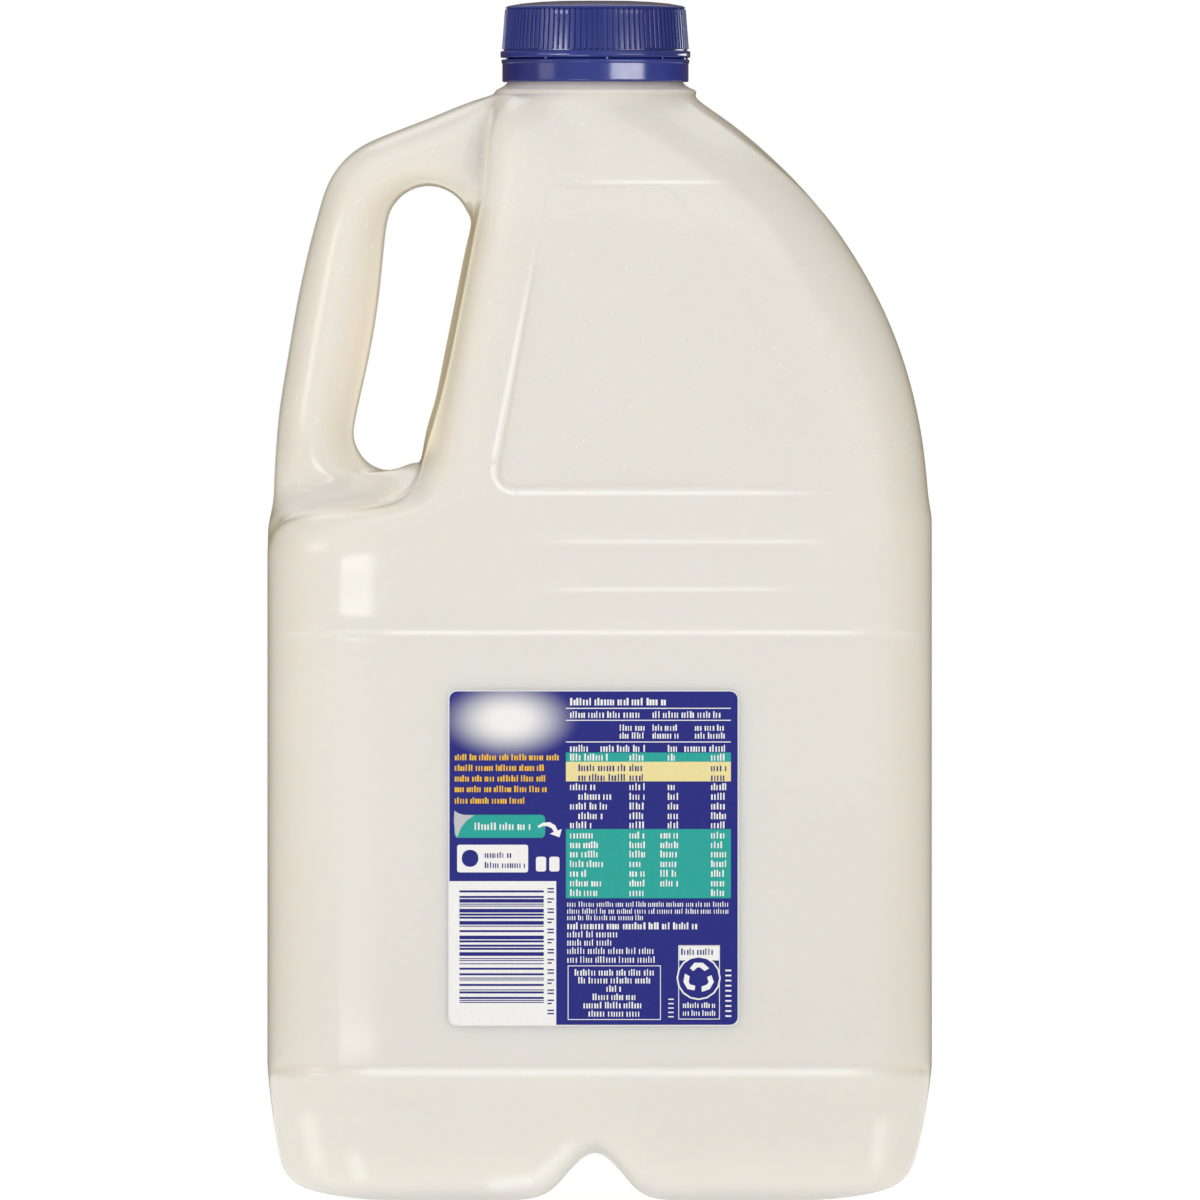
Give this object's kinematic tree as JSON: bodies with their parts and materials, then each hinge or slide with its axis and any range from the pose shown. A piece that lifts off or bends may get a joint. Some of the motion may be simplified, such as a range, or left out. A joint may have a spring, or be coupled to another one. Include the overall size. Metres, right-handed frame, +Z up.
{
  "type": "milk jug",
  "caption": "Full plastic milk jug with a built-in side handle, a ribbed blue screw cap with its tamper band, and a small printed label on each face",
  "frame": {"origin": "centre of the bounding box at the base, where the jug stands", "axes": "+Z up; +X to the right in the picture, so the handle is at -X; the shown face with its label looks along -Y; the mould's parting plane is Y = 0"},
  "size_m": [0.1444, 0.1154, 0.2612],
  "materials": {
    "milky_plastic": "satin translucent polyethylene over milk",
    "cap_plastic": "semi-gloss moulded plastic",
    "label_print": "printed plastic film"
  },
  "bodies": {
    "root": {"jug": "milky_plastic", "cap": "cap_plastic", "tamper_band": "cap_plastic", "label_back": "label_print", "label_front": "label_print"}
  },
  "joints": []
}
